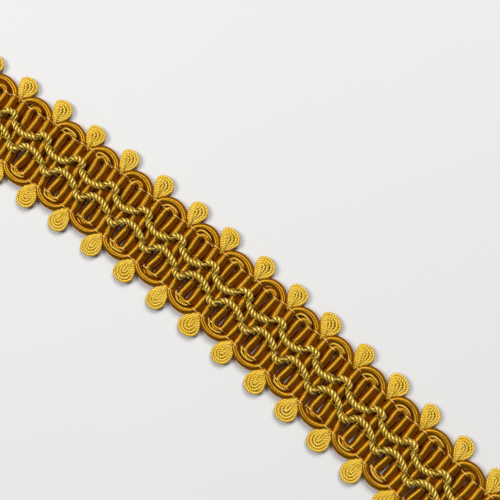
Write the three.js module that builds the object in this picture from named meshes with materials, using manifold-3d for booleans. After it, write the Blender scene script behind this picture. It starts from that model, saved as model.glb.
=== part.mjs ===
// Gimp braid trim: a cut length that lies flat with a slight bow, in millimetres.
// Its long way runs near +X, its width along +Y, and its back lies on z = 0.
// Two gimp cords run to and fro across the width and turn in scallops at both edges.
// Two twisted cords run in waves along the middle, and a picot stands at each notch.

import * as THREE from 'three';
import { mergeVertices } from 'three/addons/utils/BufferGeometryUtils.js';
import Module from 'manifold-3d';

const wasm = await Module();
wasm.setup();

// The length and its pattern
const REPEAT = 11.2;
const REPEATS = 16;
const HALF_LENGTH = REPEAT * REPEATS / 2;
const HALF_REPEAT = REPEAT / 2;

// How the length lies: a shallow bow, and bars that lean a little off square
const BOW = 0.0005868;
const BOW_TOP_X = 5.6;
const BAR_LEAN = 0.03;

// Heights of the layers, each 0.3 clear of the next
const THREAD_HEIGHT = 0.5;
const CLEARANCE = 0.3;
const GIMP_WIDTH = 1.8;
const GIMP_HEIGHT = 1.8;
const GIMP_BOTTOM = THREAD_HEIGHT + CLEARANCE;
const TWIST_WIDTH = 1.6;
const TWIST_HEIGHT = 1.6;
const TWIST_BOTTOM = GIMP_BOTTOM + GIMP_HEIGHT + CLEARANCE;

// The arcs where the gimp cords turn: half the span, and the foot and crest from the middle
const OUTER_HALF_SPAN = 4.2;
const INNER_HALF_SPAN = 1.4;
const UPPER_ARCS = {
  outer: { halfSpan: OUTER_HALF_SPAN, foot: 8.2, crest: 10.5, steps: 6 },
  inner: { halfSpan: INNER_HALF_SPAN, foot: 6.85, crest: 8.25, steps: 4 },
};
const LOWER_ARCS = {
  outer: { halfSpan: OUTER_HALF_SPAN, foot: -8.05, crest: -10.05, steps: 6 },
  inner: { halfSpan: INNER_HALF_SPAN, foot: -6.35, crest: -7.75, steps: 4 },
};

// Under its inner arc a pair of bars stands apart by this much more on each side
const PAIR_BULGE = 0.2;
const BULGE_AT = 0.65;

// The two waves, as x from the nearest notch and y from the middle of the braid
const UPPER_WAVE = [
  { x: -0.7, y: 2.5 },
  { x: 0.1, y: 3.4 },
  { x: 1.3, y: 4.0 },
  { x: 2.4, y: 3.4 },
  { x: 3.0, y: 2.3 },
  { x: 4.2, y: 1.3 },
  { x: 6.0, y: 0.75 },
  { x: 8.4, y: 1.4 },
];
const LOWER_WAVE = [
  { x: -5.2, y: -0.5 },
  { x: -2.9, y: -1.2 },
  { x: -1.3, y: -2.5 },
  { x: -0.3, y: -3.5 },
  { x: 0.8, y: -3.85 },
  { x: 1.8, y: -3.4 },
  { x: 2.6, y: -2.1 },
  { x: 3.9, y: -0.95 },
];

// The edge thread under the bars, and the binding thread nearer the middle
const EDGE_THREAD = { at: 8.0, width: 1.0 };
const BINDING_THREAD = { at: 2.6, width: 0.6 };

// One picot: its nested loops of yarn, from the outermost in
const PICOT_YARN_WIDTH = 0.62;
const PICOT_YARN_HEIGHT = 0.46;
const PICOT_HEAD_AT = 11.9;
const PICOT_HEAD_START = -30;
const PICOT_LOOPS = [
  { root: 1.75, halfWidth: 2.45, height: 2.45, steps: 6 },
  { root: 1.05, halfWidth: 1.6, height: 1.55, steps: 4 },
  { root: 0.36, halfWidth: 0.75, height: 0.65, steps: 4 },
];

// A point of the straight braid, moved to where it lies in the bowed length
function laid(x, y, z) {
  const along = x - BAR_LEAN * y - BOW_TOP_X;
  const turn = Math.atan(-2 * BOW * along);
  const px = along - y * Math.sin(turn);
  const py = y * Math.cos(turn) - BOW * along * along;
  return new THREE.Vector3(px + BOW_TOP_X, py, z);
}

// A path through its stations, with the section turned halfway at each corner
class StationPath extends THREE.Curve {
  constructor(stations) {
    super();
    this.stations = stations;
  }

  getUtoTmapping(u) {
    return u;
  }

  getPoint(t, target = new THREE.Vector3()) {
    const last = this.stations.length - 1;
    const place = Math.min(Math.max(t, 0), 1) * last;
    const before = Math.min(Math.floor(place), last - 1);
    const from = this.stations[before];
    const to = this.stations[before + 1];
    return target.lerpVectors(from, to, place - before);
  }

  getTangent(t, target = new THREE.Vector3()) {
    const last = this.stations.length - 1;
    const at = Math.round(t * last);
    const here = this.stations[at];
    const into = this.stations[Math.max(at - 1, 0)];
    const out = this.stations[Math.min(at + 1, last)];
    const arriving = new THREE.Vector3().subVectors(here, into).normalize();
    const leaving = new THREE.Vector3().subVectors(out, here).normalize();
    return target.addVectors(arriving, leaving).normalize();
  }
}

// A section of six sides with a flat top and a flat bottom, its middle on the path
function cordSection(width, height) {
  const side = width / 2;
  const flat = width / 4;
  const up = height / 2;
  return new THREE.Shape([
    new THREE.Vector2(up, -flat),
    new THREE.Vector2(up, flat),
    new THREE.Vector2(0, side),
    new THREE.Vector2(-up, flat),
    new THREE.Vector2(-up, -flat),
    new THREE.Vector2(0, -side),
  ]);
}

// A flat section with its bottom on the path
function threadSection(width, height) {
  const side = width / 2;
  return new THREE.Shape([
    new THREE.Vector2(0, -side),
    new THREE.Vector2(0, side),
    new THREE.Vector2(-height, side),
    new THREE.Vector2(-height, -side),
  ]);
}

// A section of three sides with its flat bottom on the path
function yarnSection(width, height) {
  const side = width / 2;
  return new THREE.Shape([
    new THREE.Vector2(0, -side),
    new THREE.Vector2(0, side),
    new THREE.Vector2(-height, 0),
  ]);
}

// A section carried along its stations as one closed body
function sweep(stations, section) {
  const path = new StationPath(stations);
  const settings = { steps: stations.length - 1, extrudePath: path, bevelEnabled: false };
  const geometry = new THREE.ExtrudeGeometry(section, settings);
  geometry.deleteAttribute('normal');
  geometry.deleteAttribute('uv');
  return mergeVertices(geometry, 0.0001);
}

// The places of one arc from its left foot over its crest to its right foot
function arcPlaces(centre, arc) {
  const rise = Math.abs(arc.crest - arc.foot);
  const side = Math.sign(arc.crest);
  const radius = (arc.halfSpan ** 2 + rise ** 2) / (2 * rise);
  const middle = Math.abs(arc.crest) - radius;
  const reach = Math.acos((radius - rise) / radius);
  const places = [];
  for (let step = 0; step <= arc.steps; step += 1) {
    const angle = reach * (2 * step / arc.steps - 1);
    const x = centre + radius * Math.sin(angle);
    const y = side * (middle + radius * Math.cos(angle));
    places.push({ x, y });
  }
  return places;
}

// An inner arc with the bulge of the two bars that run into it
function innerArcPlaces(centre, arc) {
  const out = arc.halfSpan + PAIR_BULGE;
  const y = arc.foot * BULGE_AT;
  return [{ x: centre - out, y }, ...arcPlaces(centre, arc), { x: centre + out, y }];
}

// The stations of one gimp cord, which turns at the upper edge and then at the lower edge
function gimpStations(upperPlaces, lowerPlaces) {
  const places = [];
  for (let k = -REPEATS / 2; k <= REPEATS / 2; k += 1) {
    places.push(...upperPlaces(k * REPEAT));
    places.push(...lowerPlaces(k * REPEAT + HALF_REPEAT));
  }
  const kept = places.filter((place) => Math.abs(place.x) <= HALF_LENGTH + 0.001);
  const height = GIMP_BOTTOM + GIMP_HEIGHT / 2;
  return kept.map((place) => laid(place.x, place.y, height));
}

// The gimp cord with wide scallops on the upper edge and narrow turns on the lower edge
function gimpCordA() {
  const upper = (centre) => arcPlaces(centre, UPPER_ARCS.outer);
  const lower = (centre) => innerArcPlaces(centre, LOWER_ARCS.inner);
  return sweep(gimpStations(upper, lower), cordSection(GIMP_WIDTH, GIMP_HEIGHT));
}

// The gimp cord with narrow turns on the upper edge and wide scallops on the lower edge
function gimpCordB() {
  const upper = (centre) => innerArcPlaces(centre, UPPER_ARCS.inner);
  const lower = (centre) => arcPlaces(centre, LOWER_ARCS.outer);
  return sweep(gimpStations(upper, lower), cordSection(GIMP_WIDTH, GIMP_HEIGHT));
}

// Where a wave stands at one end of the length, between the two places around that end
function waveAt(places, x) {
  const after = places.findIndex((place) => place.x > x);
  const from = places[after - 1];
  const to = places[after];
  const part = (x - from.x) / (to.x - from.x);
  return { x, y: from.y + part * (to.y - from.y) };
}

// One twisted cord in its wave on top of the bars, cut square at both ends
function twistCord(wave, firstNotch) {
  const places = [];
  for (let k = -1; k <= REPEATS + 1; k += 1) {
    const notch = firstNotch + k * REPEAT;
    places.push(...wave.map((place) => ({ x: notch + place.x, y: place.y })));
  }
  const inside = places.filter((place) => Math.abs(place.x) < HALF_LENGTH - 0.3);
  const whole = [waveAt(places, -HALF_LENGTH), ...inside, waveAt(places, HALF_LENGTH)];
  const height = TWIST_BOTTOM + TWIST_HEIGHT / 2;
  const stations = whole.map((place) => laid(place.x, place.y, height));
  return sweep(stations, cordSection(TWIST_WIDTH, TWIST_HEIGHT));
}

// A straight thread under the bars, at one distance from the middle of the braid
function threadRun(at, width) {
  const stations = [];
  for (let k = 0; k <= REPEATS; k += 1) {
    const x = -HALF_LENGTH + k * REPEAT + BAR_LEAN * at;
    stations.push(laid(x, at, 0));
  }
  return sweep(stations, threadSection(width, THREAD_HEIGHT));
}

// One loop of a picot, from its root in the edge thread round its head and back
function picotLoop(notch, side, loop) {
  const root = side * EDGE_THREAD.at;
  const places = [{ x: notch - loop.root, y: root }];
  const start = THREE.MathUtils.degToRad(180 - PICOT_HEAD_START);
  const finish = THREE.MathUtils.degToRad(PICOT_HEAD_START);
  for (let step = 0; step <= loop.steps; step += 1) {
    const angle = start + (finish - start) * step / loop.steps;
    const x = notch + loop.halfWidth * Math.cos(angle);
    const y = side * (PICOT_HEAD_AT + loop.height * Math.sin(angle));
    places.push({ x, y });
  }
  places.push({ x: notch + loop.root, y: root });
  const stations = places.map((place) => laid(place.x, place.y, 0));
  return sweep(stations, yarnSection(PICOT_YARN_WIDTH, PICOT_YARN_HEIGHT));
}

// A closed body as a solid that can be joined to others
function toSolid(geometry) {
  const mesh = new wasm.Mesh({
    numProp: 3,
    vertProperties: new Float32Array(geometry.attributes.position.array),
    triVerts: new Uint32Array(geometry.index.array),
  });
  return new wasm.Manifold(mesh);
}

// A joined solid as a geometry again
function toGeometry(solid) {
  const mesh = solid.getMesh();
  const geometry = new THREE.BufferGeometry();
  geometry.setAttribute('position', new THREE.BufferAttribute(new Float32Array(mesh.vertProperties), 3));
  geometry.setIndex(new THREE.BufferAttribute(new Uint32Array(mesh.triVerts), 1));
  return geometry;
}

// The edge thread of one side with the roots of all its picots joined into it
function picotEdge(side, firstNotch, count) {
  let joined = toSolid(threadRun(side * EDGE_THREAD.at, EDGE_THREAD.width));
  for (let k = 0; k < count; k += 1) {
    const notch = firstNotch + k * REPEAT;
    for (const loop of PICOT_LOOPS) {
      joined = joined.add(toSolid(picotLoop(notch, side, loop)));
    }
  }
  return toGeometry(joined);
}

// One named piece with its own material
function piece(name, geometry, colour, roughness) {
  const material = new THREE.MeshStandardMaterial({ color: colour, roughness, metalness: 0 });
  material.name = `${name}_material`;
  geometry.computeVertexNormals();
  const mesh = new THREE.Mesh(geometry, material);
  mesh.name = name;
  return mesh;
}

// The pieces moved together until the middle of their footprint is at the origin
function centreOnFootprint(pieces) {
  const box = new THREE.Box3();
  for (const mesh of pieces) {
    mesh.geometry.computeBoundingBox();
    box.union(mesh.geometry.boundingBox);
  }
  const middle = box.getCenter(new THREE.Vector3());
  for (const mesh of pieces) {
    mesh.geometry.translate(-middle.x, -middle.y, -box.min.z);
  }
}

const upperNotch = -HALF_LENGTH + HALF_REPEAT;
const lowerNotch = -HALF_LENGTH + REPEAT;
const pieces = [
  piece('gimp_cord_a', gimpCordA(), 0xb4821c, 0.45),
  piece('gimp_cord_b', gimpCordB(), 0xb4821c, 0.45),
  piece('twist_cord_upper', twistCord(UPPER_WAVE, upperNotch), 0xbea046, 0.5),
  piece('twist_cord_lower', twistCord(LOWER_WAVE, lowerNotch), 0xbea046, 0.5),
  piece('picot_edge_upper', picotEdge(1, upperNotch, REPEATS), 0xd7a52d, 0.6),
  piece('picot_edge_lower', picotEdge(-1, lowerNotch, REPEATS - 1), 0xd7a52d, 0.6),
  piece('binding_thread_upper', threadRun(BINDING_THREAD.at, BINDING_THREAD.width), 0x7a6a2a, 0.6),
  piece('binding_thread_lower', threadRun(-BINDING_THREAD.at, BINDING_THREAD.width), 0x7a6a2a, 0.6),
];
centreOnFootprint(pieces);

const braid = new THREE.Group();
braid.name = 'gimp_braid_trim';
for (const mesh of pieces) {
  braid.add(mesh);
}

export default braid;
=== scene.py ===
import math
from collections import namedtuple

import bpy
import numpy as np
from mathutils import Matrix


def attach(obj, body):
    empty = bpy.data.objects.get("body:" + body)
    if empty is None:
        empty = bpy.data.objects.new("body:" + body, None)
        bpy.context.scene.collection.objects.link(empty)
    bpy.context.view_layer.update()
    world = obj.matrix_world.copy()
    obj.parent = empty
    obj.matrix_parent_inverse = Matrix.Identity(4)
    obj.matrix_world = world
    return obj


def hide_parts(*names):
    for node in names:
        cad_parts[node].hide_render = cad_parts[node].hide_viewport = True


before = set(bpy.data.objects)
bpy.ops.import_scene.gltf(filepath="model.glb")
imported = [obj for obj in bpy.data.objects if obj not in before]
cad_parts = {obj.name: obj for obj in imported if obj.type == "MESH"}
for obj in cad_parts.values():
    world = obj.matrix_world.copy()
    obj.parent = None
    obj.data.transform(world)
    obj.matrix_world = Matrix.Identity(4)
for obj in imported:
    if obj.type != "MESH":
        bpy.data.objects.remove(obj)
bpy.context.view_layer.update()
bpy.ops.object.select_all(action="DESELECT")

# Sizes of the braid in millimetres, as in the part's source. Here x runs along the length, y across
# it, and z up from the board
MM = 0.001
REPEAT = 11.2
REPEATS = 16
HALF_LENGTH = REPEAT * REPEATS / 2
HALF_REPEAT = REPEAT / 2
BAR_SPACING = REPEAT / 4
# The length lies in a shallow bow, which falls away with the square of the distance from its top
BOW = 0.0005868
BOW_TOP_X = 5.6
# How far a bar leans along the length for each millimetre across it
BAR_LEAN = 0.03
# Brings the middle of the bowed length's footprint to the origin
FOOTPRINT_SHIFT = (0.3507, 2.0141)
UP = np.array([0.0, 0.0, 1.0])

# The camera's place in metres and its turn in degrees, found from the photo's own view
CAMERA_PLACE = (0.033722, -0.000299, 0.287176)
CAMERA_TURN = (6.66, 3.158, 39.942)
CAMERA_LENS = 80
CAMERA_SENSOR = 36
ROOM_LIGHT = 0.11
FLOOR_SIZE = 4.0


# The camera looks down at the braid from where the photo was taken
def place_camera():
    data = bpy.data.cameras.new("camera")
    data.lens = CAMERA_LENS
    data.sensor_width = CAMERA_SENSOR
    data.clip_start = 0.01
    camera = bpy.data.objects.new("camera", data)
    camera.rotation_mode = "YXZ"
    camera.rotation_euler = [math.radians(angle) for angle in CAMERA_TURN]
    camera.location = CAMERA_PLACE
    bpy.context.collection.objects.link(camera)
    bpy.context.scene.camera = camera


# One soft lamp that points at the origin, at a tilt from straight above and a compass angle
def place_light(name, tilt, compass, distance, size, watts):
    data = bpy.data.lights.new(name, "AREA")
    data.shape = "SQUARE"
    data.size = size
    data.energy = watts
    light = bpy.data.objects.new(name, data)
    tilt = math.radians(tilt)
    compass = math.radians(compass)
    aside = math.sin(tilt) * distance
    light.location = (aside * math.cos(compass), aside * math.sin(compass), math.cos(tilt) * distance)
    light.rotation_euler = (0, tilt, compass)
    bpy.context.collection.objects.link(light)


# Even white light from all sides, much weaker than the lamps
def light_room(strength):
    world = bpy.data.worlds.new("studio")
    world.use_nodes = True
    background = world.node_tree.nodes["Background"]
    background.inputs["Color"].default_value = (1.0, 1.0, 1.0, 1.0)
    background.inputs["Strength"].default_value = strength
    bpy.context.scene.world = world


place_camera()
place_light("lamp_left", tilt=38, compass=205, distance=1.4, size=0.67, watts=11.4)
place_light("lamp_right", tilt=38, compass=105, distance=1.4, size=0.67, watts=12.5)
light_room(ROOM_LIGHT)
bpy.context.scene.view_settings.view_transform = "Standard"


# A hex colour in sRGB as the linear values that a shader takes
def linear(hex_colour):
    parts = [int(hex_colour[k:k + 2], 16) / 255 for k in (1, 3, 5)]
    line = [p / 12.92 if p <= 0.04045 else ((p + 0.055) / 1.055) ** 2.4 for p in parts]
    return (*line, 1.0)


# A node with its settings. Each input is set to a value or linked from an output, and goes by its
# name, or by i and its number where a node has inputs of the same name
def add(tree, kind, settings=None, **inputs):
    node = tree.nodes.new(kind)
    for key, value in (settings or {}).items():
        setattr(node, key, value)
    for key, value in inputs.items():
        socket = node.inputs[int(key[1:])] if key[0] == "i" and key[1:].isdigit() else node.inputs[key]
        if isinstance(value, bpy.types.NodeSocket):
            tree.links.new(value, socket)
        else:
            socket.default_value = value
    return node


def new_material(name):
    material = bpy.data.materials.new(name)
    material.use_nodes = True
    tree = material.node_tree
    return material, tree, tree.nodes["Principled BSDF"]


def set_shader(shader, roughness, metallic, specular, tint="#FFFFFF"):
    shader.inputs["Metallic"].default_value = metallic
    shader.inputs["Roughness"].default_value = roughness
    shader.inputs["Specular IOR Level"].default_value = specular
    shader.inputs["Specular Tint"].default_value = linear(tint)


# Shine drawn out along the strand, or across it with a quarter turn, as on combed filaments
def set_grain(tree, shader, amount, turn):
    grain = add(tree, "ShaderNodeAttribute", {"attribute_name": "grain"})
    tree.links.new(grain.outputs["Vector"], shader.inputs["Tangent"])
    shader.inputs["Anisotropic"].default_value = amount
    shader.inputs["Anisotropic Rotation"].default_value = turn


# Dyed yarn is uneven in patches of about a millimetre. A strand's own tone adds to that, and the
# light colour comes in above a certain sum of both
PATCHES_PER_METRE = 900.0
TONE_SHARE = 0.5
LIGHT_FROM = 0.45


# Dyed yarn: a tone for each strand and slow unevenness along it, with a darker colour mixed in as painted
# shade where the tube's shade attribute asks for it
def yarn_colour(tree, shade_colour, middle, light):
    tone = add(tree, "ShaderNodeAttribute", {"attribute_name": "tone"})
    groove = add(tree, "ShaderNodeAttribute", {"attribute_name": "groove"})
    place = add(tree, "ShaderNodeTexCoord")
    noise = add(tree, "ShaderNodeTexNoise", Vector=place.outputs["Object"], Scale=PATCHES_PER_METRE,
                Detail=3.0)
    mixed = add(tree, "ShaderNodeMath", {"operation": "MULTIPLY_ADD"}, i0=tone.outputs["Fac"],
                i1=TONE_SHARE, i2=noise.outputs["Fac"])
    ramp = add(tree, "ShaderNodeValToRGB", Fac=mixed.outputs[0])
    ramp.color_ramp.elements[0].position = LIGHT_FROM
    ramp.color_ramp.elements[0].color = linear(middle)
    ramp.color_ramp.elements[1].position = 1.0
    ramp.color_ramp.elements[1].color = linear(light)
    return add(tree, "ShaderNodeMix", {"data_type": "RGBA"}, Factor=groove.outputs["Fac"],
               i6=ramp.outputs["Color"], i7=linear(shade_colour)).outputs[2]


# Fine filaments as raised streaks on the strand map: how many lie across the girth, how fast they
# change along the length, and how high they stand in metres
def filament_bump(tree, across, along, height):
    uv = add(tree, "ShaderNodeUVMap", {"uv_map": "strand"})
    stretch = add(tree, "ShaderNodeMapping", Vector=uv.outputs["UV"], Scale=(along, across, 1.0))
    noise = add(tree, "ShaderNodeTexNoise", Vector=stretch.outputs["Vector"], Scale=1.0, Detail=2.0)
    return add(tree, "ShaderNodeBump", Strength=0.6, Distance=height, Height=noise.outputs["Fac"]).outputs[0]


# Dyed viscose wrapped round the gimp core: a hard satin line along each cord. The dark flank colour is
# painted shade, laid down the flanks and in the wrap grooves
def gimp_satin():
    material, tree, shader = new_material("gimp_satin_viscose")
    colour = yarn_colour(tree, shade_colour="#AC6C0E", middle="#A0761A", light="#AE8222")
    tree.links.new(colour, shader.inputs["Base Color"])
    tree.links.new(filament_bump(tree, across=3.0, along=18.0, height=0.000012), shader.inputs["Normal"])
    set_shader(shader, roughness=0.39, metallic=0.85, specular=0.5, tint="#E8B040")
    set_grain(tree, shader, amount=0.9, turn=0.0)
    return material


# Twisted viscose plies: a paler beige gold with a soft shine on each turn. The dark olive mixed in between
# the plies is painted shade
def twist_satin():
    material, tree, shader = new_material("twist_cord_viscose")
    colour = yarn_colour(tree, shade_colour="#4C3A06", middle="#DDB53A", light="#F2D268")
    tree.links.new(colour, shader.inputs["Base Color"])
    tree.links.new(filament_bump(tree, across=16.0, along=0.7, height=0.00003), shader.inputs["Normal"])
    set_shader(shader, roughness=0.42, metallic=0.6, specular=0.6, tint="#FFEAB8")
    set_grain(tree, shader, amount=0.4, turn=0.25)
    return material


# Two-ply picot yarn: bright yellow gold with a low shine and small glints. Its dark orange is painted shade
# between the plies and down the yarn's sides
def picot_yarn():
    material, tree, shader = new_material("picot_yarn_cotton_viscose")
    colour = yarn_colour(tree, shade_colour="#A86A00", middle="#F2C51E", light="#F8D75A")
    tree.links.new(colour, shader.inputs["Base Color"])
    tree.links.new(filament_bump(tree, across=10.0, along=0.9, height=0.00002), shader.inputs["Normal"])
    set_shader(shader, roughness=0.38, metallic=0.25, specular=0.55, tint="#FFF2CC")
    set_grain(tree, shader, amount=0.5, turn=0.25)
    return material


# Thin filament thread in a pale gold that binds the edge, lighter than the gimp
def edge_thread_material():
    material, tree, shader = new_material("edge_thread_filament")
    colour = yarn_colour(tree, shade_colour="#9A6A18", middle="#E8B656", light="#F4CA70")
    tree.links.new(colour, shader.inputs["Base Color"])
    set_shader(shader, roughness=0.35, metallic=0.3, specular=0.5, tint="#F8D484")
    return material


# The same thread nearer the middle, dyed an olive gold
def binding_thread_material():
    material, tree, shader = new_material("binding_thread_filament")
    colour = yarn_colour(tree, shade_colour="#5A4A0C", middle="#9C7E20", light="#B09030")
    tree.links.new(colour, shader.inputs["Base Color"])
    set_shader(shader, roughness=0.4, metallic=0.3, specular=0.4, tint="#D0B050")
    return material


# Smooth pale board, plain but for a faint unevenness
def pale_board():
    material, tree, shader = new_material("pale_board")
    place = add(tree, "ShaderNodeTexCoord")
    noise = add(tree, "ShaderNodeTexNoise", Vector=place.outputs["Object"], Scale=12.0)
    ramp = add(tree, "ShaderNodeValToRGB", Fac=noise.outputs["Fac"])
    ramp.color_ramp.elements[0].color = linear("#E7E7E6")
    ramp.color_ramp.elements[1].color = linear("#EAEAE9")
    tree.links.new(ramp.outputs["Color"], shader.inputs["Base Color"])
    set_shader(shader, roughness=0.7, metallic=0.0, specular=0.2)
    return material


# Places of the straight braid moved to where they lie in the bowed length, in metres
def laid(places):
    x, y, z = places.T
    along = x - BAR_LEAN * y - BOW_TOP_X
    turn = np.arctan(-2 * BOW * along)
    px = along - y * np.sin(turn) + BOW_TOP_X + FOOTPRINT_SHIFT[0]
    py = y * np.cos(turn) - BOW * along ** 2 + FOOTPRINT_SHIFT[1]
    return np.stack([px, py, z], 1) * MM


# How far along its line each row lies
def distances(rows):
    steps = np.linalg.norm(np.diff(rows[:, :3], axis=0), axis=1)
    return np.concatenate([[0.0], np.cumsum(steps)])


# Rows of numbers led by x, y, z, spread again at equal steps along their line
def even_steps(rows, step):
    gone = distances(rows)
    count = max(2, int(round(gone[-1] / step)))
    at = np.linspace(0, gone[-1], count + 1)
    return np.stack([np.interp(at, gone, column) for column in rows.T], 1)


# The step at which lines are smoothed
FINE_STEP = 0.06


# A soft line through the rows: corners are rounded over about the given length
def soft_line(rows, step, rounding):
    line = even_steps(np.asarray(rows, float), FINE_STEP)
    reach = int(3 * rounding / FINE_STEP)
    kernel = np.exp(-0.5 * (np.arange(-reach, reach + 1) * FINE_STEP / rounding) ** 2)
    kernel /= kernel.sum()
    before = 2 * line[0] - line[1:reach + 1][::-1]
    after = 2 * line[-1] - line[-reach - 1:-1][::-1]
    padded = np.vstack([before, line, after])
    soft = np.stack([np.convolve(column, kernel, "valid") for column in padded.T], 1)
    return even_steps(soft, step)


# The directions along a line, to its left and up from it
def line_frame(line):
    ahead = np.gradient(line, axis=0)
    ahead /= np.linalg.norm(ahead, axis=1)[:, None]
    left = np.cross(UP, ahead)
    left /= np.linalg.norm(left, axis=1)[:, None]
    return ahead, left, np.cross(ahead, left)


# Keeps the part of a line between the two cut ends
def cut_to_length(rows):
    rows = np.asarray(rows, float)
    keep = np.abs(rows[:, 0]) <= HALF_LENGTH + 1e-6
    first = int(np.argmax(keep))
    last = len(keep) - int(np.argmax(keep[::-1]))
    return rows[first:last]


# A wrapping round a tube: the length of one turn, and how deep its grooves are as a share of the radius
Wrap = namedtuple("Wrap", "pitch depth")
# The cord that a ply is twisted into: its middle line, the radii between which the ply gets painted shade
# inwards, and how much painted shade the ply gets down the cord's sides
Core = namedtuple("Core", "axis inside outside shade")

# Heights on a tube of radius 1: below the first, a squashed tube spreads. A wrapped tube starts to take
# painted shade below the second and is fully shaded that much lower. Below the last, a ply takes painted
# shade down the side
SPREAD_BELOW = 0.35
FLANK_BELOW = 0.98
FLANK_DEPTH = 0.65
SHADE_BELOW = 0.6
# How much painted shade the grooves of a wrapping get
WRAP_SHADE = 0.5
# A short way along the grain, in millimetres, to carry its direction into the bowed length
GRAIN_STEP = 0.1


# Collects tubes and makes one mesh of them
class Strands:
    def __init__(self):
        self.points, self.quads, self.caps = [], [], []
        self.length, self.girth, self.tone, self.groove, self.grain = [], [], [], [], []
        self.count = 0

    # One tube of yarn along a line, with its half widths and heights, an optional wrapping, the
    # direction of its filaments, how far its lower half spreads, and the cord it is twisted into
    def tube(self, line, sides, half_width, half_height, tone, wrap=None, grain=None, spread=0.0, core=None):
        rows = len(line)
        ahead, left, up = line_frame(line)
        gone = distances(line)
        angle = np.arange(sides) * 2 * math.pi / sides
        wide = np.broadcast_to(half_width, rows)[:, None, None]
        high = np.broadcast_to(half_height, rows)[:, None, None]
        low = np.clip((SPREAD_BELOW - np.sin(angle)) / (SPREAD_BELOW + 1), 0, 1)[None, :, None]
        squashed = 1 + np.broadcast_to(spread, rows)[:, None, None] * low
        ring = left[:, None] * np.cos(angle)[None, :, None] * wide * squashed
        ring += up[:, None] * np.sin(angle)[None, :, None] * high
        groove = np.zeros((rows, sides))
        if wrap:
            wave = np.cos(2 * math.pi * gone[:, None] / wrap.pitch - angle[None, :])
            ring *= (1 - wrap.depth * (1 - wave) / 2)[..., None]
            # Painted shade: the colour darkens in the wrap grooves and down the flanks, away from the top
            flank_shade = np.clip((FLANK_BELOW - np.sin(angle)) / FLANK_DEPTH, 0, 1)
            groove = np.clip(WRAP_SHADE * (1 - wave) / 2 + flank_shade[None, :], 0, 1)
        if core:
            # Painted shade: darker towards the cord's middle between the plies, and lower down its sides
            away = line[:, None] + ring - core.axis[:, None]
            reach = np.linalg.norm(away, axis=2)
            height = (away * up[:, None]).sum(2) / core.outside
            between_plies = (core.outside - reach) / (core.outside - core.inside)
            down_the_side = core.shade * (SHADE_BELOW - height)
            groove = np.clip(np.maximum(between_plies, down_the_side), 0, 1)
        self.points.append((line[:, None] + ring).reshape(-1, 3))
        first = self.count + np.arange(rows - 1)[:, None] * sides
        here = np.arange(sides)[None, :]
        beside = (here + 1) % sides
        quads = np.stack([first + here, first + beside, first + sides + beside, first + sides + here], -1)
        self.quads.append(quads.reshape(-1, 4))
        self.caps.append(list(range(self.count + sides - 1, self.count - 1, -1)))
        last = self.count + (rows - 1) * sides
        self.caps.append(list(range(last, last + sides)))
        self.length.append(np.repeat(gone, sides))
        self.girth.append(np.tile(np.arange(sides) / sides, rows))
        self.tone.append(np.full(rows * sides, tone))
        self.groove.append(groove.reshape(-1))
        self.grain.append(np.repeat(ahead if grain is None else grain, sides, axis=0))
        self.count += rows * sides

    # The strand map: millimetres along the strand, and the share of the way round it. The quad that
    # closes a ring runs on to 1 and doesn't go back to 0
    def add_strand_map(self, mesh, corners, quad_corners):
        length = np.concatenate(self.length)[corners]
        girth = np.concatenate(self.girth)[corners]
        quad_girth = girth[:quad_corners].reshape(-1, 4)
        at_seam = quad_girth.max(1) - quad_girth.min(1) > 0.5
        quad_girth[at_seam[:, None] & (quad_girth < 0.25)] += 1.0
        layer = mesh.uv_layers.new(name="strand")
        layer.data.foreach_set("uv", np.stack([length, girth], 1).reshape(-1))

    # The tubes as one object at the origin, with the strand map and the attributes tone, painted shade and
    # grain, in place of one solid of the part
    def piece(self, name, material, node):
        straight = np.vstack(self.points)
        points = laid(straight)
        grain = laid(straight + np.vstack(self.grain) * GRAIN_STEP) - points
        grain /= np.linalg.norm(grain, axis=1)[:, None]
        quads = np.vstack(self.quads)
        corners = np.concatenate([quads.reshape(-1), np.array([v for cap in self.caps for v in cap])])
        sizes = np.concatenate([np.full(len(quads), 4), np.array([len(cap) for cap in self.caps])])
        starts = np.concatenate([[0], np.cumsum(sizes)[:-1]])
        mesh = bpy.data.meshes.new(name)
        mesh.vertices.add(len(points))
        mesh.vertices.foreach_set("co", points.reshape(-1))
        mesh.loops.add(len(corners))
        mesh.loops.foreach_set("vertex_index", corners.astype(np.int32))
        mesh.polygons.add(len(sizes))
        mesh.polygons.foreach_set("loop_start", starts.astype(np.int32))
        mesh.update(calc_edges=True)
        self.add_strand_map(mesh, corners, len(quads) * 4)
        for key, values in (("tone", self.tone), ("groove", self.groove)):
            mesh.attributes.new(key, "FLOAT", "POINT").data.foreach_set("value", np.concatenate(values))
        mesh.attributes.new("grain", "FLOAT_VECTOR", "POINT").data.foreach_set("vector", grain.reshape(-1))
        mesh.polygons.foreach_set("use_smooth", np.ones(len(sizes), bool))
        mesh.materials.append(material)
        mesh.validate()
        made = bpy.data.objects.new(name, mesh)
        bpy.context.collection.objects.link(made)
        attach(made, "root")
        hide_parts(node)


# The gimp cords: the level of their middle, and half of their height and width
GIMP_MIDDLE_Z = 1.35
GIMP_HALF_HEIGHT = 1.02
OUTER_ARC_HALF_WIDTH = 1.1
INNER_ARC_HALF_WIDTH = 1.1
GIMP_SIDES = 13
GIMP_TONE = 0.5
GIMP_WRAP = Wrap(pitch=0.42, depth=0.024)
# Half width of a bar by its distance from the middle towards its narrow turn
BAR_WIDTHS = np.array([
    [-8.4, 1.08],
    [-7.0, 1.22],
    [-5.5, 1.32],
    [0.0, 1.28],
    [3.5, 1.18],
    [5.5, 1.24],
    [7.0, 1.10],
])
# The flanks of a bar spread at the bottom, but not where it turns: how far, the distance from the
# middle where that has ended, and the length over which it ends
BAR_SPREAD = 0.52
SPREAD_END = 8.5
SPREAD_FADE = 1.5

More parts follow.
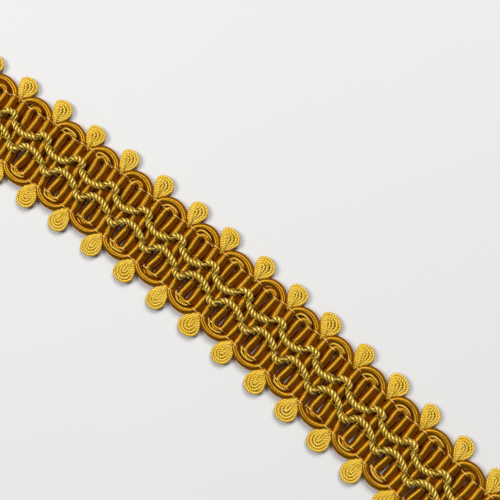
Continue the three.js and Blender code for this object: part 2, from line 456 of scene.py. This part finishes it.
# A turn of the gimp: the y of its two feet, the y of its crest and the half width of the cord there
Turn = namedtuple("Turn", "foot crest half_width")
UPPER_OUTER = Turn(8.3, 10.52, OUTER_ARC_HALF_WIDTH)
LOWER_OUTER = Turn(-8.1, -10.02, OUTER_ARC_HALF_WIDTH)
UPPER_INNER = Turn(6.95, 8.6, INNER_ARC_HALF_WIDTH)
LOWER_INNER = Turn(-6.45, -8.25, INNER_ARC_HALF_WIDTH)
# How far the crests stand off their place, one with another
CREST_JOG = 0.1
BAR_ROWS = 13
ARC_ROWS = 15

# The pair of bars at a scallop of the upper edge: y, half of its spacing, shift of its middle
SCALLOP_PAIR = np.array([
    [-8.2, 1.40, 0.00],
    [-7.0, 1.33, 0.05],
    [-6.0, 1.22, 0.06],
    [-5.0, 1.20, 0.02],
    [-2.6, 1.16, 0.12],
    [0.0, 1.18, 0.30],
    [2.6, 1.30, 0.40],
    [5.0, 1.46, 0.47],
    [7.0, 1.50, 0.38],
    [8.2, 1.45, 0.36],
])
# The pair at a notch of the upper edge, the same way
NOTCH_PAIR = np.array([
    [-7.8, 1.50, 0.18],
    [-7.0, 1.60, 0.26],
    [-6.0, 1.64, 0.37],
    [-5.0, 1.56, 0.47],
    [-2.6, 1.36, 0.45],
    [0.0, 1.30, 0.42],
    [2.6, 1.30, 0.40],
    [5.0, 1.36, 0.37],
    [7.0, 1.48, 0.32],
    [8.2, 1.50, 0.20],
])
PAIR_TABLES = {"scallop": SCALLOP_PAIR, "notch": NOTCH_PAIR}

# How unevenly a bar stands: moved as a whole, and bent in a long and a short wave with their pace
BAR_SHIFT = 0.08
LONG_BEND = 0.1
LONG_BEND_PACE = 0.55
SHORT_BEND = 0.07
SHORT_BEND_PACE = 0.8
# Three draws for each bar along the length, and for a few past both ends
BAR_WOBBLE = np.random.default_rng(11).normal(0, 1, (4 * REPEATS + 12, 3))

# Where a thread binds the gimp: the distance from the middle, how much narrower the gimp is there,
# and the length over which it narrows. The inner turns are bound a little nearer the middle
OUTER_EDGE_BINDING = 8.15
INNER_EDGE_BINDING = 7.75
EDGE_PINCH = 0.13
EDGE_PINCH_LENGTH = 0.32
MIDDLE_BINDING = 2.6
MIDDLE_PINCH = 0.12
MIDDLE_PINCH_LENGTH = 0.4
# The gimp's thickness varies in two slow waves: the share of each and its pace along the cord
LONG_SWELL = 0.02
LONG_SWELL_PACE = 0.7
SHORT_SWELL = 0.015
SHORT_SWELL_PACE = 1.9


# The x of a bar at a given y, from the middle of its pair and its side of it
def bar_x(middle, side, y, pair):
    table = PAIR_TABLES[pair]
    half = np.interp(y, table[:, 0], table[:, 1])
    shift = np.interp(y, table[:, 0], table[:, 2])
    number = int(round((middle + side * BAR_SPACING / 2) / BAR_SPACING + 2 * REPEATS + 4))
    row = BAR_WOBBLE[number % len(BAR_WOBBLE)]
    long_bend = LONG_BEND * row[1] * np.sin(y * LONG_BEND_PACE)
    short_bend = SHORT_BEND * row[2] * np.cos(y * SHORT_BEND_PACE)
    sway = BAR_SHIFT * row[0] + long_bend + short_bend
    return middle + shift + side * half + sway


# One bar from one y to another, as rows of x, y, z and half width
def bar_rows(middle, side, pair, start, finish):
    y = np.linspace(start, finish, BAR_ROWS)
    x = bar_x(middle, side, y, pair)
    z = np.full_like(y, GIMP_MIDDLE_Z)
    towards_turn = y if pair == "scallop" else -y
    return np.stack([x, y, z, np.interp(towards_turn, BAR_WIDTHS[:, 0], BAR_WIDTHS[:, 1])], 1)


# One turn of the gimp between two bars, from its left foot over its crest, as such rows
def turn_rows(left_bar, right_bar, pair, turn, jog):
    left_x = bar_x(*left_bar, turn.foot, pair)
    right_x = bar_x(*right_bar, turn.foot, pair)
    crest = turn.crest + jog
    rise = abs(crest - turn.foot)
    half = (right_x - left_x) / 2
    radius = (half ** 2 + rise ** 2) / (2 * rise)
    reach = math.acos((radius - rise) / radius)
    if rise > half:
        reach = math.pi - math.asin(half / radius)
    angle = np.linspace(-reach, reach, ARC_ROWS)[1:-1]
    x = (left_x + right_x) / 2 + radius * np.sin(angle)
    y = math.copysign(1, crest) * (abs(crest) - radius + radius * np.cos(angle))
    z = np.full_like(x, GIMP_MIDDLE_Z)
    return np.stack([x, y, z, np.full_like(x, turn.half_width)], 1)


# The share of its width that the gimp keeps where the threads bind it
def bound_width(y, outer_end):
    off_middle = np.abs(y)
    edge = np.where(outer_end, OUTER_EDGE_BINDING, INNER_EDGE_BINDING)
    at_edge = EDGE_PINCH * np.exp(-((off_middle - edge) / EDGE_PINCH_LENGTH) ** 2)
    inside = MIDDLE_PINCH * np.exp(-((off_middle - MIDDLE_BINDING) / MIDDLE_PINCH_LENGTH) ** 2)
    return 1 - at_edge - inside


# A gimp cord to and fro across the width, with its wide turns on the upper or on the lower edge. A
# bar goes by the middle of its pair and its side of it. Of the four draws for a repeat two are used
def gimp_cord(name, wide_on_top, seed, material, node):
    dice = np.random.default_rng(seed)
    rows = []
    pair = "notch" if wide_on_top else "scallop"
    upper = UPPER_OUTER if wide_on_top else UPPER_INNER
    lower = LOWER_INNER if wide_on_top else LOWER_OUTER
    for k in range(-REPEATS // 2 - 1, REPEATS // 2 + 2):
        scallop = k * REPEAT
        notch = scallop + HALF_REPEAT
        jog = dice.normal(0, CREST_JOG, 4)
        if wide_on_top:
            last_up, down, up = (notch - REPEAT, 1), (notch, -1), (notch, 1)
        else:
            last_up, down, up = (scallop, -1), (scallop, 1), (scallop + REPEAT, -1)
        lower_jog = jog[1] if wide_on_top else -jog[1]
        rows.append(turn_rows(last_up, down, pair, upper, jog[0]))
        rows.append(bar_rows(*down, pair, upper.foot, lower.foot))
        rows.append(turn_rows(down, up, pair, lower, lower_jog))
        rows.append(bar_rows(*up, pair, lower.foot, upper.foot))
    line = soft_line(cut_to_length(np.vstack(rows)), step=0.13, rounding=0.32)
    gone = distances(line)
    long_swell = LONG_SWELL * np.sin(gone * LONG_SWELL_PACE + seed)
    short_swell = SHORT_SWELL * np.sin(gone * SHORT_SWELL_PACE)
    uneven = 1 + long_swell + short_swell
    outer_end = line[:, 1] > 0 if wide_on_top else line[:, 1] < 0
    narrow = bound_width(line[:, 1], outer_end)
    spread = BAR_SPREAD * np.clip((SPREAD_END - np.abs(line[:, 1])) / SPREAD_FADE, 0, 1)
    strands = Strands()
    strands.tube(line[:, :3], GIMP_SIDES, line[:, 3] * narrow * uneven, GIMP_HALF_HEIGHT * narrow * uneven,
                 GIMP_TONE, wrap=GIMP_WRAP, spread=spread)
    strands.piece(name, material, node)


# The waves of the twisted cords, a repeat of each: x from the notch, y from the middle of the braid,
# and how tightly the binding thread holds it down
UPPER_WAVE = np.array([
    [-1.0, 2.0, 0.2],
    [-0.8, 2.5, 1.0],
    [-0.9, 3.0, 0.4],
    [-0.5, 3.6, 0.0],
    [0.4, 4.0, 0.0],
    [1.4, 4.15, 0.0],
    [2.3, 3.9, 0.0],
    [2.75, 3.3, 0.3],
    [2.75, 2.6, 1.0],
    [3.05, 2.1, 0.4],
    [3.9, 1.55, 0.0],
    [4.9, 1.12, 0.0],
    [6.0, 0.9, 0.0],
    [7.2, 1.0, 0.0],
    [8.3, 1.35, 0.0],
    [9.4, 1.75, 0.0],
])
LOWER_WAVE = np.array([
    [-5.5, -0.8, 0.0],
    [-4.3, -0.95, 0.0],
    [-3.1, -1.3, 0.0],
    [-2.0, -1.85, 0.0],
    [-1.3, -2.3, 0.3],
    [-0.95, -2.75, 1.0],
    [-0.6, -3.3, 0.3],
    [0.05, -3.85, 0.0],
    [0.8, -4.0, 0.0],
    [1.7, -3.8, 0.0],
    [2.25, -3.25, 0.3],
    [2.3, -2.7, 1.0],
    [2.55, -2.15, 0.3],
    [3.3, -1.5, 0.0],
    [4.3, -1.0, 0.0],
])
WAVE_Z = 3.2
# Where it is bound, a wave sinks this far and its cord gets thinner by this share
WAVE_SINK = 0.8
WAVE_PINCH = 0.25
# Unevenness of a wave: each of its points, and a whole repeat
WAVE_JOG = 0.07
WAVE_DRIFT = 0.08
TWIST_PLIES = 3
TWIST_PITCH = 3.2
TWIST_SIDES = 9
PLY_OFFSET = 0.47
PLY_RADIUS = 0.385
# A ply is fully painted shade at the first of these distances from the cord's middle, and has its own colour
# at the second. The first ply has this tone, and each next one is lighter by a step
PLY_DARK = 0.5
PLY_BRIGHT = 0.83
PLY_TONE = 0.35
PLY_TONE_STEP = 0.2


# The middle of a twisted cord, as rows of x, y, z and share of the full thickness
def wave_line(table, first_notch, seed):
    dice = np.random.default_rng(seed)
    rows = []
    for k in range(-1, REPEATS + 1):
        notch = first_notch + k * REPEAT
        jog = dice.normal(0, WAVE_JOG, (len(table), 2))
        x = notch + table[:, 0] + jog[:, 0]
        y = table[:, 1] + jog[:, 1] + dice.normal(0, WAVE_DRIFT)
        z = WAVE_Z - WAVE_SINK * table[:, 2]
        rows.append(np.stack([x, y, z, 1 - WAVE_PINCH * table[:, 2]], 1))
    return cut_to_length(soft_line(np.vstack(rows), step=0.17, rounding=0.25))


# Three plies twisted round the middle of a cord
def twisted_cord(name, line, material, node):
    gone = distances(line)
    ahead, left, up = line_frame(line[:, :3])
    core = Core(axis=line[:, :3], inside=PLY_DARK, outside=PLY_BRIGHT, shade=0.0)
    strands = Strands()
    for ply in range(TWIST_PLIES):
        angle = 2 * math.pi * (gone / TWIST_PITCH + ply / TWIST_PLIES)
        offset = PLY_OFFSET * line[:, 3]
        swing = left * np.cos(angle)[:, None] + up * np.sin(angle)[:, None]
        path = line[:, :3] + swing * offset[:, None]
        half = PLY_RADIUS * line[:, 3]
        tone = PLY_TONE + PLY_TONE_STEP * ply
        strands.tube(path, TWIST_SIDES, half, half, tone, grain=ahead, core=core)
    strands.piece(name, material, node)


# The picot yarn at full size, with the radii and the strength of its painted shade as for the cords
YARN_OFFSET = 0.145
YARN_RADIUS = 0.295
YARN_PITCH = 1.3
YARN_SIDES = 6
YARN_DARK = 0.25
YARN_BRIGHT = 0.43
YARN_SHADE = 1.3
YARN_TONE_STEP = 0.1


# A two-ply yarn along a line
def yarn(strands, line, tone, turn, size=1.0):
    gone = distances(line)
    ahead, left, up = line_frame(line)
    core = Core(axis=line, inside=YARN_DARK * size, outside=YARN_BRIGHT * size, shade=YARN_SHADE)
    half = YARN_RADIUS * size
    for ply in range(2):
        angle = 2 * math.pi * gone / YARN_PITCH + math.pi * ply + turn
        swing = left * np.cos(angle)[:, None] + up * np.sin(angle)[:, None]
        path = line + swing * YARN_OFFSET * size
        strands.tube(path, YARN_SIDES, half, half, tone + YARN_TONE_STEP * ply, grain=ahead, core=core)


# The loops of an upper picot from the outer one in, as x from the notch, y outwards and z
UPPER_PICOT = [
    [
        [-0.2, 7.6, 0.5], [-0.6, 8.4, 1.0], [-0.95, 9.3, 1.5], [-1.7, 10.4, 0.85],
        [-2.45, 11.9, 0.5], [-2.65, 13.2, 0.4], [-1.95, 14.05, 0.4], [-0.6, 14.35, 0.4],
        [0.75, 14.2, 0.4], [1.85, 13.35, 0.4], [2.25, 12.1, 0.42], [1.9, 11.0, 0.5],
        [1.4, 10.0, 1.05], [1.0, 9.2, 1.5], [0.85, 8.4, 1.0], [0.5, 7.6, 0.5],
    ],
    [
        [-0.1, 7.6, 0.6], [-0.3, 8.4, 1.0], [-0.55, 9.3, 1.8], [-1.3, 10.6, 1.15],
        [-2.1, 11.9, 0.85], [-2.15, 12.9, 0.75], [-1.5, 13.5, 0.65], [-0.5, 13.7, 0.55],
        [0.55, 13.5, 0.5], [1.25, 12.85, 0.5], [1.5, 11.9, 0.55], [1.25, 10.9, 0.75],
        [0.9, 9.8, 1.3], [0.7, 9.1, 1.8], [0.6, 8.4, 1.0], [0.4, 7.6, 0.6],
    ],
    [
        [0.0, 7.6, 0.7], [-0.05, 8.4, 1.4], [-0.2, 9.3, 2.0], [-0.95, 10.6, 1.4],
        [-1.65, 11.8, 1.2], [-1.75, 12.5, 1.1], [-1.2, 12.95, 1.0], [-0.5, 13.0, 0.85],
        [0.2, 12.7, 0.75], [0.65, 11.9, 0.8], [0.6, 10.8, 1.05], [0.45, 9.7, 1.4],
        [0.4, 9.0, 2.0], [0.35, 8.4, 1.4], [0.3, 7.6, 0.7],
    ],
    [
        [0.1, 7.6, 0.8], [0.05, 8.4, 1.8], [0.0, 9.3, 2.35], [-0.55, 10.6, 1.7],
        [-1.15, 11.6, 1.5], [-1.15, 12.15, 1.35], [-0.75, 12.35, 1.2], [-0.3, 12.0, 1.15],
        [-0.05, 11.0, 1.3], [0.15, 9.8, 1.65], [0.2, 9.0, 2.35], [0.2, 8.4, 1.8],
        [0.2, 7.6, 0.8],
    ],
]
# The loops of a lower picot, which are even: half width, tip, level and half width of the neck
LOWER_LOOPS = [
    [2.55, 14.45, 0.45, 0.95],
    [1.85, 13.75, 0.55, 0.65],
    [1.14, 13.0, 0.7, 0.3],
    [0.4, 12.25, 0.85, 0.1],
]
WIDEST_LOOP = 2.55
# A lower loop's half outline past its neck: share of the way to the tip, and of the half width
LOOP_OUTLINE = [
    [0.2, 0.76],
    [0.4, 0.95],
    [0.58, 1.0],
    [0.8, 0.85],
    [0.95, 0.5],
]
ROOT_Y = 7.6
NECK_FOOT_Y = 8.4
NECK_TOP_Y = 9.2
# The root's share of the width at the neck's foot, and how much wider the outer loop's neck gets
ROOT_SHARE = 0.75
NECK_WIDENS = 0.6
# The level of a root, of the outer loop at its neck, and how much higher the inner loops lie there
ROOT_Z = 0.6
NECK_Z = 1.55
INNER_RISE = 0.85
NECK_FOOT_DROP = 0.4
HEAD_FOOT_RISE = 0.1


# One loop of a lower picot, from its left root round the tip to its right root
def lower_loop(half, tip, level, neck):
    wide = half / WIDEST_LOOP
    stack = NECK_Z + INNER_RISE * (1 - wide)
    across = [neck * ROOT_SHARE, neck, neck + NECK_WIDENS * wide]
    across += [half * share for _, share in LOOP_OUTLINE]
    y = [ROOT_Y, NECK_FOOT_Y, NECK_TOP_Y]
    y += [NECK_TOP_Y + (tip - NECK_TOP_Y) * share for share, _ in LOOP_OUTLINE]
    z = [ROOT_Z, stack - NECK_FOOT_DROP, stack, (stack + level) / 2, level + HEAD_FOOT_RISE]
    z += [level, level, level]
    right = np.stack([across, y, z], 1)
    return np.vstack([right * [-1, 1, 1], [[0.0, tip, level]], right[::-1]])


LOWER_PICOT = [lower_loop(*loop) for loop in LOWER_LOOPS]
# Where the middle of a picot stands beside its notch, on the upper and on the lower edge
UPPER_PICOT_SHIFT = 0.4
LOWER_PICOT_SHIFT = 0.05
# A picot's head begins here. It is lifted over a short way and then falls slowly towards its tip
HEAD_FROM_Y = 9.0
HEAD_RISE_LENGTH = 2
HEAD_LIFT = 1.0
HEAD_FALL = 0.04
# How much picots differ: in length, in width with its limits, in lean, in place along the edge, and
# in each point of a loop
LENGTH_SPREAD = 0.025
WIDTH_SPREAD = 0.07
WIDTH_LIMITS = (-0.12, 0.09)
LEAN_SPREAD = 0.05
PLACE_SPREAD = 0.08
LOOP_JOG = 0.04
PICOT_TONES = (0.2, 0.7)
# The plies of a yarn may start at any angle up to a full turn
ANY_ANGLE = 6.28


# One picot at a notch: its head is longer or shorter, wider or narrower and more or less askew
def picot(strands, notch, side, dice):
    grow = 1 + dice.normal(0, LENGTH_SPREAD)
    broad = 1 + np.clip(dice.normal(0, WIDTH_SPREAD), *WIDTH_LIMITS)
    tilt = dice.normal(0, LEAN_SPREAD)
    middle = dice.normal(0, PLACE_SPREAD) + (UPPER_PICOT_SHIFT if side > 0 else LOWER_PICOT_SHIFT)
    for loop in (UPPER_PICOT if side > 0 else LOWER_PICOT):
        rows = np.array(loop, float)
        beyond = np.maximum(rows[:, 1] - HEAD_FROM_Y, 0.0)
        on_head = np.minimum(beyond / HEAD_RISE_LENGTH, 1)
        rows[:, 0] += tilt * beyond
        rows[:, 0] *= 1 + (broad - 1) * on_head
        rows[:, 1] = np.minimum(rows[:, 1], HEAD_FROM_Y) + beyond * grow
        rows[:, :2] += dice.normal(0, LOOP_JOG, (len(rows), 2))
        rows[:, 2] += HEAD_LIFT * on_head - HEAD_FALL * beyond
        rows[:, 0] += notch + middle
        rows[:, 1] *= side
        tone = dice.uniform(*PICOT_TONES)
        yarn(strands, soft_line(rows, step=0.17, rounding=0.2), tone, turn=dice.uniform(0, ANY_ANGLE))


# The picot yarn where it runs from one notch to the next round the inner turn: x from the scallop,
# y outwards and z
RUN_TABLE = np.array([
    [-5.2, 7.5, 0.8],
    [-4.2, 7.6, 0.35],
    [-3.1, 7.5, 0.9],
    [-2.25, 8.3, 1.2],
    [-1.75, 8.95, 2.1],
    [-0.7, 9.3, 2.35],
    [0.7, 9.3, 2.35],
    [1.75, 8.95, 2.1],
    [2.2, 8.3, 1.2],
    [3.1, 7.5, 0.9],
    [4.2, 7.6, 0.35],
    [5.2, 7.5, 0.8],
])
# The rows that go round the turn, the share of runs that show there, and how deep the others lie
ROUND_TURN = slice(3, 9)
RUNS_SHOWING = 0.7
RUN_SINK = 0.9
# How far a run is pulled towards the middle of the braid at its turn, and how uneven it lies
RUN_PULL = (-0.05, 0.2)
RUN_JOG = 0.06
# The lower runs lie this much nearer the middle. All runs are stretched thin
LOWER_RUN_PULL = 0.45
RUN_SIZE = 0.66
RUN_TONES = (0.5, 1.0)


# One run of picot yarn round the inner turn at a scallop
def picot_run(strands, scallop, side, dice):
    rows = RUN_TABLE.copy()
    showing = dice.uniform() < RUNS_SHOWING
    rows[:, 0] += scallop
    if not showing:
        rows[ROUND_TURN, 2] -= RUN_SINK
    rows[ROUND_TURN, 1] -= dice.uniform(*RUN_PULL)
    rows[:, :2] += dice.normal(0, RUN_JOG, (len(rows), 2))
    if side < 0:
        rows[:, 1] -= LOWER_RUN_PULL
    rows[:, 1] *= side
    tone = dice.uniform(*RUN_TONES)
    turn = dice.uniform(0, ANY_ANGLE)
    yarn(strands, soft_line(rows, step=0.17, rounding=0.3), tone, turn, RUN_SIZE)


# All picots of one edge and the runs of yarn between them
def picot_edge(name, side, seed, material, node):
    dice = np.random.default_rng(seed)
    strands = Strands()
    notches = REPEATS if side > 0 else REPEATS - 1
    first = -HALF_LENGTH + (HALF_REPEAT if side > 0 else REPEAT)
    for k in range(notches):
        picot(strands, first + k * REPEAT, side, dice)
    scallops = REPEATS - 1 if side > 0 else REPEATS
    first = -HALF_LENGTH + (REPEAT if side > 0 else HALF_REPEAT)
    for k in range(scallops):
        picot_run(strands, first + k * REPEAT, side, dice)
    strands.piece(name, material, node)


# The edge and binding threads, which lie a little flattened
THREAD_RADIUS = 0.17
THREAD_HALF_WIDTH = THREAD_RADIUS * 1.15
THREAD_HALF_HEIGHT = THREAD_RADIUS * 0.9
THREAD_SIDES = 6
THREAD_STEP = 0.2
THREAD_ROUNDING = 0.16
THREAD_TONES = (0.3, 0.8)
# No bar is bound nearer than this to a cut end
END_MARGIN = 0.4
# The gimp's half height where the edge thread pulls an inner turn in
PULLED_HALF_HEIGHT = 0.84
# A stitch over a bar, or under it the other way up: distance from the bar's middle, and share of the
# full height. At its reach on both sides the thread lies between the bars, this share of the height
# away from their middle
STITCH = [
    [-0.8, 0.45],
    [-0.35, 0.97],
    [0.35, 0.97],
    [0.8, 0.45],
]
STITCH_REACH = 1.25
BETWEEN_BARS = -0.5
# How far the stitches stand off their line, and how much they slant
STITCH_JOG = 0.05
STITCH_SLANT = 0.1
# About the radius of a twisted cord, how near it a thread starts to climb, and how far it clears it
CORD_RADIUS = 0.85
CLIMB_FROM = 0.3
CORD_CLEARANCE = 0.05
FAR_BELOW = -10.0


# The x of each bar at a given y, in order along the length, with the pair that it belongs to
def bar_list(y):
    found = []
    for k in range(-REPEATS // 2, REPEATS // 2 + 1):
        for middle, pair in ((k * REPEAT, "scallop"), (k * REPEAT + HALF_REPEAT, "notch")):
            for side in (-1, 1):
                found.append((float(bar_x(middle, side, y, pair)), pair))
    return sorted(bar for bar in found if abs(bar[0]) < HALF_LENGTH - END_MARGIN)


# The height that clears the twisted cord where the thread crosses it
def over_wave(line, wave):
    height = np.full(len(line), FAR_BELOW)
    for number, (x, y) in enumerate(line[:, :2]):
        gap = np.hypot(wave[:, 0] - x, wave[:, 1] - y)
        near = int(np.argmin(gap))
        thick = CORD_RADIUS * wave[near, 3]
        if gap[near] < thick + CLIMB_FROM:
            over = math.sqrt(max(thick ** 2 - gap[near] ** 2, 0.0))
            height[number] = wave[near, 2] + over + CORD_CLEARANCE
    return height


# Two strands twine along the bars: each goes over one bar and under the next. The first also goes
# over the twisted cord where there is one. An edge thread pulls the inner turns towards the middle
def twined_threads(name, y, inner_pull, wave, material, node, seed):
    dice = np.random.default_rng(seed)
    strands = Strands()
    on_top = y > 0
    for strand in range(2):
        rows = [[-HALF_LENGTH, y, GIMP_MIDDLE_Z]]
        for number, (x, pair) in enumerate(bar_list(y)):
            pulled = inner_pull > 0 and (pair == "scallop") == on_top
            at = y - math.copysign(inner_pull if pulled else 0.0, y) + dice.normal(0, STITCH_JOG)
            high = (PULLED_HALF_HEIGHT if pulled else GIMP_HALF_HEIGHT) + THREAD_RADIUS
            lift = high if (number + strand) % 2 == 0 else -high
            slope = dice.normal(0, STITCH_SLANT)
            stitch = [[across, lift * share] for across, share in STITCH]
            between = high * BETWEEN_BARS
            for across, up in [[-STITCH_REACH, between], *stitch, [STITCH_REACH, between]]:
                rows.append([x + across, at + slope * across, GIMP_MIDDLE_Z + up])
        rows.append([HALF_LENGTH, y, GIMP_MIDDLE_Z])
        line = soft_line(rows, THREAD_STEP, THREAD_ROUNDING)
        if wave is not None and strand == 0:
            line[:, 2] = np.maximum(line[:, 2], over_wave(line, wave))
        tone = dice.uniform(*THREAD_TONES)
        strands.tube(line, THREAD_SIDES, THREAD_HALF_WIDTH, THREAD_HALF_HEIGHT, tone)
    strands.piece(name, material, node)


satin = gimp_satin()
gimp_cord("gimp_cord_outer_on_top", wide_on_top=True, seed=3, material=satin, node="gimp_cord_a")
gimp_cord("gimp_cord_inner_on_top", wide_on_top=False, seed=4, material=satin, node="gimp_cord_b")

upper_wave = wave_line(UPPER_WAVE, -HALF_LENGTH + HALF_REPEAT, seed=21)
lower_wave = wave_line(LOWER_WAVE, -HALF_LENGTH, seed=22)
twist = twist_satin()
twisted_cord("twisted_cord_upper", upper_wave, twist, "twist_cord_upper")
twisted_cord("twisted_cord_lower", lower_wave, twist, "twist_cord_lower")

yarn_material = picot_yarn()
picot_edge("picots_upper", side=1, seed=31, material=yarn_material, node="picot_edge_upper")
picot_edge("picots_lower", side=-1, seed=32, material=yarn_material, node="picot_edge_lower")

edge = edge_thread_material()
twined_threads("edge_thread_upper", y=8.15, inner_pull=0.4, wave=None, material=edge,
               node="picot_edge_upper", seed=41)
twined_threads("edge_thread_lower", y=-8.0, inner_pull=0.5, wave=None, material=edge,
               node="picot_edge_lower", seed=42)
olive = binding_thread_material()
twined_threads("binding_thread_upper_twined", y=2.55, inner_pull=0.0, wave=upper_wave, material=olive,
               node="binding_thread_upper", seed=43)
twined_threads("binding_thread_lower_twined", y=-2.65, inner_pull=0.0, wave=lower_wave, material=olive,
               node="binding_thread_lower", seed=44)

bpy.ops.mesh.primitive_plane_add(size=FLOOR_SIZE, location=(0, 0, 0))
floor = bpy.context.object
floor.name = "floor"
floor.data.materials.append(pale_board())
